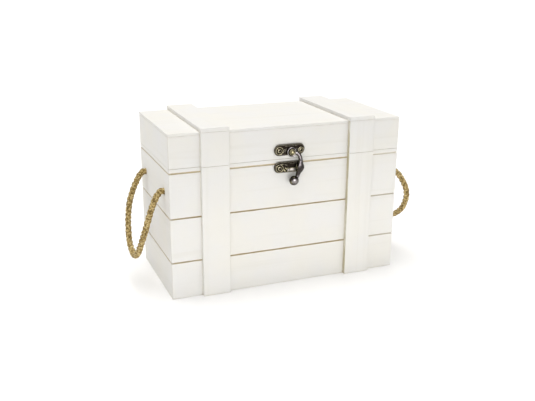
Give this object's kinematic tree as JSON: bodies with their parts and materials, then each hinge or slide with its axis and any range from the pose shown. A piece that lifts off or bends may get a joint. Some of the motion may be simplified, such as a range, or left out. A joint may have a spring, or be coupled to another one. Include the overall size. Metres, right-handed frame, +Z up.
{
  "type": "shipping crate",
  "caption": "Small painted wooden plank chest with a hinged lid, flat battens, a swing-hook latch and rope loop handles at both ends",
  "frame": {"origin": "middle of the underside, on the surface that the chest stands on", "axes": "+X along the front to the right as seen from the front, +Y from the front to the back, +Z up; the lid is shut and the rope handles hang"},
  "size_m": [0.3133, 0.1363, 0.1724],
  "materials": {
    "painted_wood": "off-white satin paint with brown showing in the grooves",
    "jute_rope": "natural twisted fibre, matt",
    "antique_bronze": "dark antique bronze plating, worn bright on raised edges"
  },
  "bodies": {
    "base": {"back_lower_plank": "painted_wood", "back_middle_plank": "painted_wood", "back_upper_plank": "painted_wood", "base_back_batten_left": "painted_wood", "base_back_batten_right": "painted_wood", "base_front_batten_left": "painted_wood", "base_front_batten_right": "painted_wood", "bottom_panel": "painted_wood", "catch_plate": "antique_bronze", "catch_screw_left": "antique_bronze", "catch_screw_right": "antique_bronze", "front_lower_plank": "painted_wood", "front_middle_plank": "painted_wood", "front_upper_plank": "painted_wood", "hinge_left_base_leaf": "antique_bronze", "hinge_left_base_screw_1": "antique_bronze", "hinge_left_base_screw_2": "antique_bronze", "hinge_left_pin": "antique_bronze", "hinge_right_base_leaf": "antique_bronze", "hinge_right_base_screw_1": "antique_bronze", "hinge_right_base_screw_2": "antique_bronze", "hinge_right_pin": "antique_bronze", "left_lower_plank": "painted_wood", "left_middle_plank": "painted_wood", "left_upper_plank": "painted_wood", "right_lower_plank": "painted_wood", "right_middle_plank": "painted_wood", "right_upper_plank": "painted_wood", "rope_end_left_back": "jute_rope", "rope_end_left_front": "jute_rope", "rope_end_right_back": "jute_rope", "rope_end_right_front": "jute_rope"},
    "lid": {"hinge_left_lid_leaf": "antique_bronze", "hinge_left_lid_screw_1": "antique_bronze", "hinge_left_lid_screw_2": "antique_bronze", "hinge_right_lid_leaf": "antique_bronze", "hinge_right_lid_screw_1": "antique_bronze", "hinge_right_lid_screw_2": "antique_bronze", "latch_plate": "antique_bronze", "latch_rivet": "antique_bronze", "latch_screw_left": "antique_bronze", "latch_screw_right": "antique_bronze", "lid_back_batten_left": "painted_wood", "lid_back_batten_right": "painted_wood", "lid_back_board": "painted_wood", "lid_front_batten_left": "painted_wood", "lid_front_batten_right": "painted_wood", "lid_front_board": "painted_wood", "lid_left_board": "painted_wood", "lid_panel": "painted_wood", "lid_right_board": "painted_wood", "lid_top_batten_left": "painted_wood", "lid_top_batten_right": "painted_wood"},
    "latch_arm": {"latch_arm": "antique_bronze"},
    "handle_left": {"rope_handle_left": "jute_rope"},
    "handle_right": {"rope_handle_right": "jute_rope"}
  },
  "joints": [
    {"name": "lid_hinge", "type": "hinge", "parent": "base", "child": "lid", "pos_m": [0, 0.0655, 0.1346], "axis": [-1, 0, 0], "range_deg": [0, 175]},
    {"name": "latch_swing", "type": "hinge", "parent": "lid", "child": "latch_arm", "pos_m": [0.001, -0.0625, 0.1416], "axis": [0, -1, 0], "range_deg": [0, 120]},
    {"name": "handle_left_lift", "type": "hinge", "parent": "base", "child": "handle_left", "pos_m": [-0.1285, 0, 0.1075], "axis": [0, 1, 0], "range_deg": [0, 115]},
    {"name": "handle_right_lift", "type": "hinge", "parent": "base", "child": "handle_right", "pos_m": [0.1285, 0, 0.1075], "axis": [0, -1, 0], "range_deg": [0, 115]}
  ]
}
